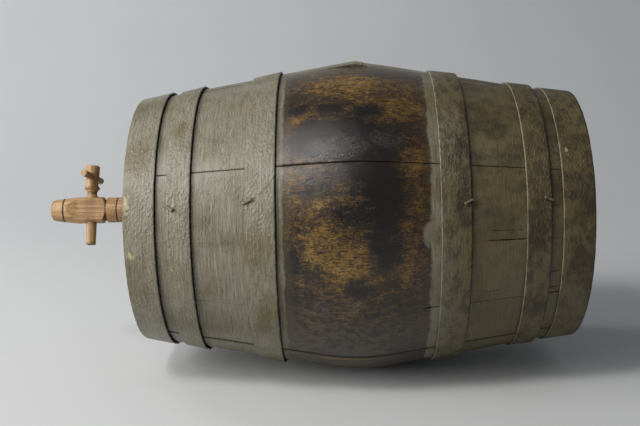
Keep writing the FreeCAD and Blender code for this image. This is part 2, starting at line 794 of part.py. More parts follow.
def make_key_pin(build):
    """The cross pin, through the key's head and even to both sides."""
    length = build.cell("pin_length")
    radius = build.cell("pin_radius")
    height = build.cell("pin_height")
    chamfer = build.cell("pin_chamfer")
    body = build.body("key_pin")
    sketch = new_sketch(body, "YZ_Plane")
    corners = (
        (-(length / 2), height),
        (-(length / 2), height + radius - chamfer),
        (-(length / 2) + chamfer, height + radius),
        (length / 2 - chamfer, height + radius),
        (length / 2, height + radius - chamfer),
        (length / 2, height),
    )
    draw_outline(sketch, corners)
    pin = body.newObject("PartDesign::Revolution", "Pin")
    pin.Profile = sketch
    pin.ReferenceAxis = (sketch, ["Edge6"])
    pin.Midplane = True
    bind(pin, Angle=360)
    build.keep(body, "key_pin", key_placement(build))


def check(build):
    """Stop unless every object is up to date and every sub-part is a sound solid."""
    for thing in build.doc.Objects:
        if {"Invalid", "Error"} & set(thing.State):
            raise RuntimeError(f"{thing.Label} failed: {thing.State}")
    for node in build.nodes:
        if node.Shape.isNull() or not node.Shape.isValid() or not node.Shape.Solids:
            raise RuntimeError(f"{node.Label} has no sound shape")


def main():
    build = Builder()
    make_staves(build)
    make_end(build, "tap_end", -1)
    make_end(build, "plain_end", 1)
    make_tap_body(build)
    make_tap_key(build)
    make_key_pin(build)
    build.doc.recompute()
    check(build)
    os.makedirs("parts", exist_ok=True)
    for node in build.nodes:
        node.Shape.exportStep(f"parts/{node.Label}.step")
        print(f"{node.Label:32s} {node.Shape.Volume / 1000:9.2f} cm3  {len(node.Shape.Solids)} solids")
    print("axis height", round(build.axis_height, 3))


main()
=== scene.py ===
import functools
import math

import bmesh
import bpy
from mathutils import Matrix, Vector, noise


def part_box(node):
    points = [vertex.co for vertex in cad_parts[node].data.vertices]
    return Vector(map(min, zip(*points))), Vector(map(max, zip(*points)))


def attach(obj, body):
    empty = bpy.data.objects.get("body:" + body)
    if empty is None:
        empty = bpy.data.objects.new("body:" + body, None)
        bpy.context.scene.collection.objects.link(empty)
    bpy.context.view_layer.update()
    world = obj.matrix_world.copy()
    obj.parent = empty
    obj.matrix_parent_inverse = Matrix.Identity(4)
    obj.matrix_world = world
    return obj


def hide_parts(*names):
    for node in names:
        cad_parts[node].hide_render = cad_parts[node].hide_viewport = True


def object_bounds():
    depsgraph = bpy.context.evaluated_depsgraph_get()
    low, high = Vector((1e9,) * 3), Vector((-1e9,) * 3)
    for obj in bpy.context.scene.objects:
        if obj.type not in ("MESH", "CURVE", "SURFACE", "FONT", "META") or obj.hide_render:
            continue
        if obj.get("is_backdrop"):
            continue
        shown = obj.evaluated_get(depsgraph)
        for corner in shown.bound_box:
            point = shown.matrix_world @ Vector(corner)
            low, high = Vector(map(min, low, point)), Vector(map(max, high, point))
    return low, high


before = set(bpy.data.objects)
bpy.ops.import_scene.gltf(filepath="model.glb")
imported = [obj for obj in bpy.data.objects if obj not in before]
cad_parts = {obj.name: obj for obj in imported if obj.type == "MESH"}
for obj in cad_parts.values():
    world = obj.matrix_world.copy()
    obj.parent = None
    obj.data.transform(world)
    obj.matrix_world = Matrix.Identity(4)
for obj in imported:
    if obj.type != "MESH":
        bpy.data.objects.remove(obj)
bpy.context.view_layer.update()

# The cask's own measures, in metres and degrees. Its axis runs along X at AXIS above the floor.
# A lean is an angle about the cask axis, away from straight up towards -Y.
MM = 0.001
AXIS = sum(corner.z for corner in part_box("tap_end_head_board_3")) / 2
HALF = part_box("stave_01")[1].x
CONE_RADIUS = 184.6 * MM
CONE_SLOPE = 0.1725
BEND = 40 * MM
BEND_RADIUS = BEND * math.sqrt(1 + CONE_SLOPE ** 2) / CONE_SLOPE
STAVE_THICKNESS = 19.5 * MM
RIM_WALL = 10 * MM
BEVEL_LENGTH = 20 * MM
CROZE_CENTRE = HALF - 37 * MM
CROZE_DEPTH = 4.5 * MM
# A hoop's iron, its clearance at the tight edge, and how far its other edge stands off.
HOOP_IRON = 2.2 * MM
HOOP_FIT = 0.05 * MM
HOOP_LIFT = 1.4 * MM
HOOP_ROUNDING = 0.7 * MM
HOOP_FACET = 2.6 * MM
# The angle that each stave takes, from the first seam onwards. The last one has the bung hole.
STAVE_WIDTHS = (27.5, 25, 28, 25, 25.5, 24.5, 26, 26, 25, 26, 26, 25, 24, 26.5)
FIRST_SEAM_LEAN = 7.5
BUNG_LEAN = FIRST_SEAM_LEAN - STAVE_WIDTHS[-1] / 2
BUNG_RADIUS = 13 * MM
BUNG_TOP = 182.2 * MM
BUNG_TAPER = 0.06
BUNG_SLACK = 0.1 * MM
# The tap's axis, the angle its key is turned by, and where the key stands.
TAP_HEIGHT = sum(corner.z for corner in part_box("tap_body")) / 2
TAP_LEAN = -20.5
KEY_PLACE = -320 * MM
# Each hoop: distance of its middle from the cask's middle and its width, both in millimetres, and
# its lap's lean.
HOOPS = {"chime": (232.5, 35, -86), "quarter": (189.25, 26.5, -99), "bilge": (101.5, 32, -92)}
LAP_ANGLE = 21
RIVET_ANGLE = 5.6
NAIL_LEANS = (73, -31, -158)
# The most, in millimetres, by which a nail is bent aside.
NAIL_SWAY = 6
# Places across a head, in millimetres, where its boards meet.
BOARD_JOINTS = (-83, -31, 31, 83)
# How finely round things are divided, and the least angle that shades as an edge.
HOOP_SIDES = 260
LAP_SIDES = 24
RIVET_SIDES = 24
NAIL_SIDES = 12
HOLE_SIDES = 72
SWEEP_STEPS = 12
SHARP_ANGLE = 35


def around(along, radius, lean):
    """The point at a distance along the cask axis and a radius and lean about it."""
    turn = math.radians(lean)
    return Vector((along, -radius * math.sin(turn), AXIS + radius * math.cos(turn)))


def outer_radius(along, kinked=False):
    """Radius of the staves' outside: two cones, joined by an arc unless the stave is kinked."""
    distance = abs(along)
    if distance > BEND or kinked:
        return CONE_RADIUS - CONE_SLOPE * distance
    rise = math.sqrt(BEND_RADIUS ** 2 - distance ** 2) - math.sqrt(BEND_RADIUS ** 2 - BEND ** 2)
    return CONE_RADIUS - CONE_SLOPE * BEND + rise


def polar(point):
    """Radius and lean of a point about the cask axis."""
    up = point.z - AXIS
    return math.hypot(point.y, up), math.degrees(math.atan2(-point.y, up))


def ease(value, low, high):
    """0 at low, 1 at high and smooth in between, also where low is the greater."""
    share = min(1.0, max(0.0, (value - low) / (high - low)))
    return share * share * (3 - 2 * share)


def ripple(point, size, seed=0):
    """Smooth noise from -1 to 1 whose lumps have that size in millimetres along each axis."""
    place = [value / (reach * MM) + seed * 7.3 for value, reach in zip(point, size)]
    return noise.noise(Vector(place))


# ---------------------------------------------------------------- camera, stage and light


def set_camera():
    """A camera in front of the cask, a little above it."""
    distance = 1.150
    elevation = math.radians(12)
    aside = -14.6 * MM
    target = Vector((-43.5 * MM, 0, AXIS + 4 * MM))
    tilt = math.radians(-1.14)
    camera = bpy.data.objects.new("camera", bpy.data.cameras.new("camera"))
    camera.data.lens = 53.6
    camera.location = (
        aside, -distance * math.cos(elevation), AXIS + distance * math.sin(elevation))
    facing = (target - camera.location).to_track_quat("-Z", "Y").to_matrix().to_4x4()
    roll = Matrix.Rotation(tilt, 4, "Z")
    camera.matrix_world = Matrix.Translation(camera.location) @ facing @ roll
    bpy.context.scene.collection.objects.link(camera)
    bpy.context.scene.camera = camera


def area_light(name, place, target, size, power, colour):
    data = bpy.data.lights.new(name, "AREA")
    data.shape = "RECTANGLE"
    data.size, data.size_y = size
    data.energy = power
    data.color = colour
    light = bpy.data.objects.new(name, data)
    light.location = place
    light.rotation_euler = (Vector(target) - Vector(place)).to_track_quat("-Z", "Y").to_euler()
    bpy.context.scene.collection.objects.link(light)


def set_lights():
    """A window on the left, a small lamp overhead, one on the backdrop, and the room's own light."""
    middle = (0, 0, AXIS)
    area_light("window", (-2.2, -1.0, 1.1), middle, (1.6, 1.6), 69, (1.0, 0.985, 0.955))
    area_light("backdrop", (-2.2, 1.0, 2.5), (-1.0, 3.3, 1.1), (1.2, 1.2), 40, (0.95, 0.97, 1.0))
    area_light("overhead", (-0.92, -1.2, 1.95), middle, (0.5, 0.5), 24, (1.0, 0.97, 0.94))
    world = bpy.data.worlds.new("room")
    world.use_nodes = True
    room = world.node_tree.nodes["Background"].inputs
    room["Color"].default_value = (0.90, 0.95, 1.0, 1)
    room["Strength"].default_value = 0.24
    bpy.context.scene.world = world
    bpy.context.scene.view_settings.view_transform = "Standard"


def set_stage():
    """A pale floor that sweeps up into a backdrop."""
    mesh = bpy.data.meshes.new("sweep")
    shape = bmesh.new()
    width, front, wall, bend, height = 26.0, -12.0, 0.9, 2.6, 6.0
    points = [(front, 0.0)]
    for step in range(SWEEP_STEPS + 1):
        turn = math.radians(90 * step / SWEEP_STEPS)
        points.append((wall + bend * math.sin(turn), bend - bend * math.cos(turn)))
    points.append((wall + bend, height))
    verts = [shape.verts.new((-width / 2, across, up)) for across, up in points]
    edges = [shape.edges.new(pair) for pair in zip(verts, verts[1:])]
    moved = bmesh.ops.extrude_edge_only(shape, edges=edges)
    new = [item for item in moved["geom"] if isinstance(item, bmesh.types.BMVert)]
    bmesh.ops.translate(shape, verts=new, vec=(width, 0, 0))
    bmesh.ops.recalc_face_normals(shape, faces=shape.faces)
    shape.to_mesh(mesh)
    shape.free()
    for face in mesh.polygons:
        face.use_smooth = True
    sweep = bpy.data.objects.new("sweep", mesh)
    bpy.context.scene.collection.objects.link(sweep)
    sweep.data.materials.append(stage_paint())
    sweep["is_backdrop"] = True


# ---------------------------------------------------------------- shader arithmetic


class Field:
    """A shader value that adds Math nodes as it is used in an expression."""

    def __init__(self, finish, socket):
        self.finish = finish
        self.socket = socket

    def math(self, operation, *others):
        sockets = dict(enumerate((self, *others)))
        return self.finish.node("ShaderNodeMath", {"operation": operation}, sockets)

    def __add__(self, other):
        return self.math("ADD", other)

    __radd__ = __add__

    def __mul__(self, other):
        return self.math("MULTIPLY", other)

    __rmul__ = __mul__

    def __sub__(self, other):
        return self.math("SUBTRACT", other)

    def __rsub__(self, other):
        settings = {"operation": "SUBTRACT"}
        return self.finish.node("ShaderNodeMath", settings, {0: other, 1: self})

    def __truediv__(self, other):
        return self.math("DIVIDE", other)

    def __pow__(self, other):
        return self.math("POWER", other)

    def most(self, other):
        return self.math("MAXIMUM", other)

    def size(self):
        return self.math("ABSOLUTE")

    def step(self, low, high):
        """0 below low, 1 above high, and smooth in between. It falls instead where low > high."""
        settings = {"interpolation_type": "SMOOTHSTEP", "clamp": True}
        values = {0: self, 1: low, 2: high, 3: 0.0, 4: 1.0}
        if low > high:
            values = {0: self, 1: high, 2: low, 3: 1.0, 4: 0.0}
        return self.finish.node("ShaderNodeMapRange", settings, values)


class Finish:
    """A material, with the nodes that colour and roughen a surface."""

    def __init__(self, name, centre=(0, 0, 0), lean=0, **constants):
        self.material = bpy.data.materials.new(name)
        self.material.use_nodes = True
        self.tree = self.material.node_tree
        self.shader = self.tree.nodes["Principled BSDF"]
        for socket, value in constants.items():
            self.shader.inputs[socket.replace("_", " ")].default_value = value
        self.point = self.node("ShaderNodeTexCoord", output="Object")
        if lean or any(centre):
            turn = {"Vector": self.point, "Location": centre, "Rotation": (math.radians(lean), 0, 0)}
            self.point = self.node("ShaderNodeMapping", {"vector_type": "TEXTURE"}, turn)
        parts = self.node("ShaderNodeSeparateXYZ", {}, {0: self.point}, output=None)
        self.x, self.y, self.z = (Field(self, socket) for socket in parts.outputs)
        self.along = self.x / MM
        self.lean = (0 - self.y).math("ARCTAN2", self.z - AXIS) * (180 / math.pi)

    def node(self, kind, settings=None, inputs=None, output=0):
        """Add a node. Settings come first, then the values or links of its sockets."""
        added = self.tree.nodes.new(kind)
        for name, value in (settings or {}).items():
            setattr(added, name, value)
        for key, value in (inputs or {}).items():
            if isinstance(value, Field):
                self.tree.links.new(value.socket, added.inputs[key])
            else:
                added.inputs[key].default_value = value
        return added if output is None else Field(self, added.outputs[output])

    def stretched(self, stretch, shift=(0, 0, 0)):
        """Object coordinates divided by a size in millimetres along each axis."""
        scale = tuple(1 / (size * MM) for size in stretch)
        settings = {"operation": "MULTIPLY_ADD"}
        return self.node("ShaderNodeVectorMath", settings, {0: self.point, 1: scale, 2: shift})

    def noise(self, stretch, detail=3.0, rough=0.55, shift=(0, 0, 0), distort=0.0):
        """Smooth noise from about 0 to 1, whose lumps have that size in millimetres."""
        sockets = {
            "Vector": self.stretched(stretch, shift),
            "Scale": 1.0,
            "Detail": detail,
            "Roughness": rough,
            "Distortion": distort,
        }
        return self.node("ShaderNodeTexNoise", {}, sockets)

    def cells(self, stretch, shift=(0, 0, 0)):
        """Distance from the middle of the nearest of many scattered cells of that size."""
        sockets = {"Vector": self.stretched(stretch, shift), "Scale": 1.0}
        return self.node("ShaderNodeTexVoronoi", {}, sockets, "Distance")

    def spot(self, along, radius, lean, reach):
        """1 at a point of the surface, falling to 0 at a reach in millimetres along X and around."""
        settings = {"operation": "SUBTRACT"}
        centre = tuple(around(along * MM, radius * MM, lean))
        offset = self.node("ShaderNodeVectorMath", settings, {0: self.point, 1: centre})
        scale = (1 / (reach[0] * MM), 1 / (reach[1] * MM), 1 / (reach[1] * MM))
        scaled = self.node(
            "ShaderNodeVectorMath", {"operation": "MULTIPLY"}, {0: offset, 1: scale})
        length = self.node(
            "ShaderNodeVectorMath", {"operation": "LENGTH"}, {0: scaled}, output="Value")
        return 1 - length

    def blend(self, share, first, second):
        """Colour first turning into colour second as share goes from 0 to 1."""
        added = self.node("ShaderNodeMix", {"data_type": "RGBA"}, {}, None)
        for socket, value in ((added.inputs["Factor"], share), (added.inputs[6], first),
                              (added.inputs[7], second)):
            if isinstance(value, Field):
                self.tree.links.new(value.socket, socket)
            elif isinstance(value, (int, float)):
                socket.default_value = value
            else:
                socket.default_value = (*value, 1.0)
        return Field(self, added.outputs[2])

    def ramp(self, value, stops):
        """A colour that follows a value through (place, colour) stops."""
        added = self.node("ShaderNodeValToRGB", {}, {0: value}, None)
        elements = added.color_ramp.elements
        while len(elements) < len(stops):
            elements.new(0.5)
        for element, (place, colour) in zip(elements, stops):
            element.position = place
            element.color = (*colour, 1.0)
        return Field(self, added.outputs[0])

    def bump(self, height, distance, strength):
        """A bump whose height field runs over a distance in millimetres."""
        sockets = {"Height": height, "Distance": distance * MM, "Strength": strength}
        return self.node("ShaderNodeBump", {}, sockets)

    def apply(self, **fields):
        for name, field in fields.items():
            self.tree.links.new(field.socket, self.shader.inputs[name.replace("_", " ")])
        return self.material


# ---------------------------------------------------------------- finishes

def srgb(red, green, blue):
    """A colour given as screen values from 0 to 255, in linear light."""
    shares = [value / 255 for value in (red, green, blue)]
    return tuple(share / 12.92 if share <= 0.04045 else ((share + 0.055) / 1.055) ** 2.4
                 for share in shares)


SAGE_PALE = srgb(146, 141, 123)
SAGE = srgb(112, 107, 90)
SAGE_OLIVE = srgb(93, 85, 61)
SAGE_DARK = srgb(62, 54, 37)
DRAB = srgb(80, 68, 29)
GRIME_AND_SHADE = srgb(34, 26, 10)
SOOT_AND_SHADE = srgb(14, 12, 10)
RUST = srgb(100, 68, 46)
CHIP = srgb(196, 178, 132)
OAK_GOLD = srgb(122, 94, 44)
OAK_HONEY = srgb(94, 70, 28)
OAK_BROWN = srgb(62, 45, 23)
OAK_DARK = srgb(40, 30, 19)
OAK_UMBER = srgb(44, 27, 8)
OAK_BLACK = srgb(17, 14, 12)
OAK_GREY = srgb(78, 64, 46)
# The grey of the painted sheen on the stain.
PAINTED_SHEEN_GREY = srgb(78, 76, 74)


def brushed_paint(finish, strokes=(1.5, 24, 24)):
    """Old sage paint brushed across the grain: its colour, height and roughness."""
    broad_size = tuple(reach * 3.2 for reach in strokes)
    fine = finish.noise(strokes, 4, 0.62)
    broad = finish.noise(broad_size, 3, 0.6, shift=(3.1, 1.7, 7.3))
    lumps = finish.noise((1.9, 4.5, 4.5), 3, 0.6, shift=(9, 1, 2))
    cloud = finish.noise((75, 60, 60), 3, 0.6, shift=(5, 2, 9))
    speck = finish.noise((1.6, 1.6, 1.6), 2, 0.7, shift=(1, 8, 4))
    dirt_and_painted_light = finish.noise((12, 12, 12), 5, 0.72, shift=(7, 3, 2))
    colour = finish.blend(cloud.step(0.38, 0.64), SAGE, SAGE_OLIVE)
    colour = finish.blend(fine.step(0.50, 0.72) * 0.5, colour, SAGE_PALE)
    colour = finish.blend(fine.step(0.48, 0.30) * 0.55, colour, SAGE_DARK)
    colour = finish.blend(broad.step(0.55, 0.70) * 0.35, colour, SAGE_DARK)
    colour = finish.blend(dirt_and_painted_light.step(0.53, 0.70) * 0.45, colour, DRAB)
    colour = finish.blend(lumps.step(0.44, 0.28) * 0.45, colour, GRIME_AND_SHADE)
    colour = finish.blend(speck.step(0.65, 0.74) * 0.6, colour, GRIME_AND_SHADE)
    colour = finish.blend(speck.step(0.30, 0.24) * 0.6, colour, RUST)
    # Darker and browner towards the plain end, in patches heavier on the upper faces: partly dirt
    # and partly painted shade.
    plain_end_dirt_and_shade = finish.along.step(72, 135)
    upper = finish.lean.size().step(105, 55)
    patches = finish.noise((30, 24, 24), 6, 0.7, shift=(4, 4, 8))
    colour = finish.blend(plain_end_dirt_and_shade * 0.72, colour, DRAB)
    colour = finish.blend(plain_end_dirt_and_shade * (0.25 + upper * 0.60) * patches.step(0.36, 0.70), colour, GRIME_AND_SHADE)
    height = fine * 0.35 + broad * 0.30 + lumps * 1.0 + speck * 0.15
    rough = 0.27 + fine * 0.14 + cloud * 0.10 + plain_end_dirt_and_shade * 0.12
    return colour, height, rough


def lines_beside_seams(finish, lines):
    """Lines beside seams, used for dirt, for bare chips and for a painted highlight: (lean,
    half-width in millimetres, strength) for each.
    """
    radius = (finish.y * finish.y + (finish.z - AXIS) * (finish.z - AXIS)) ** 0.5 / MM
    dirt_and_painted_light = None
    for lean, reach, strength in lines:
        away = ((finish.lean - lean) * math.radians(1)).size() * radius
        line = away.step(reach, 0.0) * strength
        dirt_and_painted_light = line if dirt_and_painted_light is None else dirt_and_painted_light.most(line)
    return dirt_and_painted_light


# Marks on the bare middle: X, radius and lean of a mark's middle, and its reach along and around,
# all in millimetres and degrees, then how much darker (-) or more golden (+) it is.
STAINS = (
    (-64, 173, 37, 22, 10, -0.45), (-28, 179, 38, 20, 10, -0.45), (12, 182, 40, 26, 14, -0.5),
    (-20, 181, 51, 88, 32, -0.62), (16, 182, 60, 42, 46, -0.55), (30, 180, 74, 34, 36, -0.6),
    (30, 179, 88, 28, 34, -0.5), (-2, 184, 103, 24, 18, -0.45), (-68, 173, 94, 10, 20, -0.5),
    (-12, 183, 78, 38, 20, -0.35), (0, 183, 128, 120, 44, -0.3), (-74, 172, 110, 24, 44, -0.4),
    (0, 184, 24, 110, 30, 0.26), (56, 175, 58, 26, 30, 0.18), (58, 174, 78, 26, 42, 0.26),
    (54, 176, 95, 28, 32, 0.24), (-24, 182, 90, 60, 32, 0.24), (-4, 183, 98, 46, 26, 0.22),
    (-50, 176, 80, 40, 40, 0.14), (52, 176, 38, 40, 24, 0.20),
)
# Painted sheen on the stain, a grey veil that stands in for reflected light: X, radius and lean
# of a mark's middle, and its reach along and around.
PAINTED_SHEEN = (
    (-20, 180, 54, 60, 22), (-41, 177, 112, 18, 16), (-5, 184, 110, 16, 16),
    (-10, 183, 136, 44, 16), (30, 179, 52, 30, 16),
)
# Seams and checks that hold dirt: lean, how far the dirt reaches in millimetres, and strength.
DIRTY_SEAMS = (
    (7.5, 1.6, 0.9), (60, 1.1, 0.9), (88, 0.9, 0.25), (113, 0.9, 0.35), (138.5, 5.0, 1.0),
    (-171, 1.2, 0.8), (-120, 1.2, 0.9), (-68, 1.4, 0.9), (35, 0.8, 0.15), (-145, 1.0, 0.5),
    (163, 1.0, 0.5), (-94, 0.9, 0.4), (-43, 0.9, 0.4), (-19, 1.0, 0.6),
)


def gathered(finish, marks):
    """How much a place lies in any of several marks: 1 in the middle of one, 0 at its edge."""
    total = None
    for along, radius, lean, length, breadth in marks:
        here = finish.spot(along, radius, lean, (length, breadth)).most(0.0)
        total = here if total is None else total.most(here)
    return total


def bare_oak(finish):
    """Oiled bare oak, stained nearly black in places: its colour, height and roughness."""
    grain = finish.noise((26, 1.5, 1.5), 4, 0.65, distort=0.3)
    fibre = finish.noise((6, 0.6, 0.6), 2, 0.6, shift=(4, 9, 1))
    mottle = finish.noise((40, 30, 30), 4, 0.62, shift=(6, 6, 1))
    ragged = finish.noise((11, 6, 6), 5, 0.72, shift=(8, 1, 6))
    grit = finish.noise((2.6, 1.9, 1.9), 3, 0.7, shift=(2, 2, 7))
    tone = 0.47 + (mottle - 0.5) * 1.0 + (ragged - 0.5) * 1.5 + (grit - 0.5) * 1.2
    tone = tone + (grain - 0.5) * 0.6
    for along, radius, lean, length, breadth, amount in STAINS:
        mark = finish.spot(along, radius, lean, (length, breadth)).step(0.0, 0.75)
        tone = tone + mark * amount
    # Painted sheen: grey where the glossy stain would show reflected light.
    painted_sheen = (gathered(finish, PAINTED_SHEEN) * 1.3 + (ragged - 0.5) * 1.2).step(0.2, 0.9)
    colour = finish.ramp(tone, (
        (0.12, OAK_BLACK), (0.34, OAK_DARK), (0.52, OAK_BROWN), (0.72, OAK_HONEY),
        (0.98, OAK_GOLD)))
    low = finish.lean.size().step(102, 122)
    colour = finish.blend(low * (0.15 + ragged.step(0.42, 0.58) * 0.7), colour, OAK_GREY)
    # Painted sheen, speckled by the grit.
    colour = finish.blend(painted_sheen * (0.12 + grit.step(0.40, 0.60) * 0.3), colour, PAINTED_SHEEN_GREY)
    shaded = finish.along.step(5, 72)
    colour = finish.blend(shaded * 0.45, colour, OAK_UMBER)
    colour = finish.blend(grain.step(0.45, 0.30) * 0.75, colour, OAK_BLACK)
    colour = finish.blend(fibre.step(0.43, 0.30) * 0.75, colour, SOOT_AND_SHADE)
    colour = finish.blend(grit.step(0.44, 0.32) * 0.7, colour, SOOT_AND_SHADE)
    stained = tone.step(0.62, 0.20)
    height = grain * 0.4 + fibre * 0.25 + grit * 0.75 + ragged * 0.3
    rough = 0.17 + grit * 0.12 - stained * 0.03 - painted_sheen * 0.02
    return colour, height, rough


def painted_hoop_shade(finish, uneven):
    """Painted shade: black on the staves where they show under each hoop's raised edge."""
    dirt_and_painted_light = None
    for place in HOOPS:
        for side in (-1, 1):
            edge = hoop_edges(place, side)[1] / MM
            beyond = finish.along - edge + (uneven - 0.5) * 2.6
            line = beyond.step(1.3, 0.3) * beyond.step(-6, -5)
            dirt_and_painted_light = line if dirt_and_painted_light is None else dirt_and_painted_light.most(line)
    return dirt_and_painted_light


def painted_oak(name, bare_band):
    """Staves: brushed paint, and bare oiled oak round the middle of the cask."""
    finish = Finish(name)
    colour, height, rough = brushed_paint(finish)
    lumps = finish.noise((7, 5, 5), 4, 0.7, shift=(1, 1, 5))
    edge = finish.noise((60, 22, 22), 3, 0.6, shift=(9, 4, 4))
    wobble = (lumps - 0.5) * 6 + (edge - 0.5) * 9
    if bare_band:
        lobe = gathered(finish, ((74, 172, 85, 10, 16),)).step(0.0, 0.4)
        low = (finish.along + wobble * 0.7).step(-79.5, -76.5)
        high = (finish.along + wobble * 0.8).step(77.0, 73.5) * (1 - lobe)
        band = low * high
        wood, wood_height, wood_rough = bare_oak(finish)
        margin = (finish.along - 1 + wobble * 1.5).size().step(66, 77)
        wood = finish.blend(margin * 0.55, wood, SAGE_DARK)
        # A gold painted highlight along the edge of the stave below the low seam, and bare wood
        # where the broken seam is chipped.
        painted_seam_highlight = lines_beside_seams(finish, ((140.6, 2.6, 1.0),))
        painted_seam_highlight = painted_seam_highlight * (finish.along + 14).size().step(34, 24)
        chips = finish.cells((4, 3, 3), shift=(2, 7, 1)).step(0.42, 0.25)
        broken = lines_beside_seams(finish, ((9.2, 3.2, 1.0),)) * (finish.along - 2).size().step(15, 8)
        wood = finish.blend(painted_seam_highlight.most(broken * chips) * 0.8, wood, OAK_GOLD)
        colour = finish.blend(band, colour, wood)
        height = height * (1 - band) + wood_height * band
        rough = rough * (1 - band) + wood_rough * band
    else:
        cracked = finish.noise((60, 1.6, 1.6), 3, 0.6, shift=(3, 3, 3)).step(0.40, 0.28)
        colour = finish.blend(cracked * 0.4, colour, GRIME_AND_SHADE)
        chips = finish.cells((5, 4, 4)).step(0.32, 0.20)
        near = (finish.along - 6).size().step(14, 4) * finish.lean.step(-4, 6)
        colour = finish.blend(chips * near * 0.8, colour, CHIP)
    # Black in the seams, which is dirt, and on the staves under the hoops' raised edges, which is
    # painted shade.
    grime_and_shade = lines_beside_seams(finish, DIRTY_SEAMS) * lumps.step(0.15, 0.50)
    grime_and_shade = grime_and_shade.most(painted_hoop_shade(finish, lumps))
    colour = finish.blend(grime_and_shade, colour, SOOT_AND_SHADE)
    ends = finish.along.size().step(248.6, 249.8)
    colour = finish.blend(ends * 0.6, colour, GRIME_AND_SHADE)
    normal = finish.bump(height, 0.62, 0.95)
    return finish.apply(Base_Color=colour, Roughness=rough.most(grime_and_shade * 0.8), Normal=normal)


# Dark stains and pale chips on each hoop: X, radius, lean and reaches, as for PAINTED_SHEEN.
HOOP_STAINS = {
    ("tap_end", "chime"): ((-233, 146, 52, 26, 40),),
    ("tap_end", "quarter"): ((-190, 155, 40, 14, 30),),
    ("tap_end", "bilge"): ((-101, 170, 120, 20, 40),),
    ("plain_end", "bilge"): ((108, 168, 54, 20, 24), (107, 168, 74, 20, 34)),
    ("plain_end", "quarter"): ((187, 156, 88, 22, 44), (192, 155, 120, 14, 24)),
    ("plain_end", "chime"): ((240, 147, 73, 26, 50), (236, 147, 98, 26, 44)),
}
HOOP_CHIPS = {
    ("tap_end", "chime"): ((-243, 146, 94, 8, 8), (-246, 146, 72, 6, 20)),
    ("tap_end", "quarter"): ((-198, 154, 99, 5, 4),),
    ("plain_end", "chime"): ((222, 148, 52, 5, 7),),
}


def painted_iron(name, low, high, seed, stains, chips):
    """A hoop between low and high along X: paint over pitted iron.

    At its low edge, which is tight on the staves, it is rusty on the tap end and carries a pale
    painted highlight on the plain end. Along its high edge it is black with painted shade, and it is
    darker towards the plain end, partly grime and partly painted shade.
    """
    finish = Finish(name)
    colour, height, rough = brushed_paint(finish, (1.2, 20, 20))
    blisters = finish.cells((4.2, 5, 5), shift=(seed, 2, 3)).step(0.50, 0.15)
    pits = finish.noise((4, 4.5, 4.5), 4, 0.7, shift=(seed, seed, 1))
    rusty = finish.noise((9, 16, 16), 5, 0.72, shift=(2, seed, 6))
    # Darker and browner towards the plain end: partly grime, partly painted shade.
    plain_end_grime_and_shade = finish.along.step(40, 110)
    colour = finish.blend(plain_end_grime_and_shade * 0.35, colour, DRAB)
    colour = finish.blend(plain_end_grime_and_shade * rusty.step(0.44, 0.62) * 0.65, colour, GRIME_AND_SHADE)
    worn = (gathered(finish, stains) * 1.1 + (rusty - 0.5) * 1.9 + (pits - 0.5)).step(0.1, 1.0)
    colour = finish.blend(worn * 0.75, colour, GRIME_AND_SHADE if low > 0 else DRAB)
    ragged = finish.along + (rusty - 0.5) * 3.0 + (pits - 0.5) * 2.0
    # At the low edge: rust on the tap-end hoops, and on the plain-end hoops a pale painted highlight
    # where the edge faces the light.
    colour = finish.blend(ragged.step(low + 1.2, low + 0.2) * 0.5, colour,
                          SAGE_PALE if low > 0 else RUST)
    # Painted shade: black along the raised high edge, which faces away from the light and shades the
    # gap under it.
    colour = finish.blend(ragged.step(high - 1.8, high - 0.4) * 0.9, colour, SOOT_AND_SHADE)
    colour = finish.blend(rusty.step(0.60, 0.74) * 0.35, colour, RUST)
    colour = finish.blend(pits.step(0.38, 0.26) * 0.5, colour, GRIME_AND_SHADE)
    if chips:
        spots = (gathered(finish, chips) * 1.1 + (pits - 0.5) * 2.6).step(0.5, 0.85)
        colour = finish.blend(spots * 0.45, colour, CHIP)
    bump = finish.bump(height + blisters * 0.35 + pits * 0.9, 0.65, 0.95)
    return finish.apply(Base_Color=colour, Roughness=rough - blisters * 0.06, Normal=bump)


def painted_head():
    """Head boards: paint worn thin over upright grain."""
    finish = Finish("painted_head")
    colour, height, rough = brushed_paint(finish, (26, 22, 1.6))
    grain = finish.noise((2.0, 2.0, 60), 4, 0.6, distort=0.3)
    worn = finish.noise((40, 9, 45), 4, 0.65, shift=(4, 4, 4))
    bare = finish.blend(grain.step(0.4, 0.6), OAK_DARK, OAK_BROWN)
    colour = finish.blend(worn.step(0.56, 0.66) * 0.85, colour, bare)
    colour = finish.blend(grain.step(0.42, 0.30) * 0.6, colour, GRIME_AND_SHADE)
    across = finish.y * finish.y + (finish.z - AXIS) * (finish.z - AXIS)
    stain = (across ** 0.5 / MM + worn * 20).step(46, 20)
    colour = finish.blend(stain * 0.6, colour, OAK_DARK)
    shade = (across ** 0.5 / MM).step(105, 132)
    colour = finish.blend(shade * 0.6, colour, GRIME_AND_SHADE)
    joints = None
    for joint in BOARD_JOINTS:
        line = (finish.y / MM - joint).size().step(1.3, 0.1)
        joints = line if joints is None else joints.most(line)
    colour = finish.blend(joints * 0.85, colour, SOOT_AND_SHADE)
    normal = finish.bump(height * 0.5 + grain * 0.8, 0.5, 0.9)
    return finish.apply(Base_Color=colour, Roughness=rough + 0.1, Normal=normal)


BEECH = srgb(178, 143, 100)
BEECH_WARM = srgb(150, 114, 74)
BEECH_DARK = srgb(100, 68, 40)
SCORCHED = srgb(58, 38, 25)


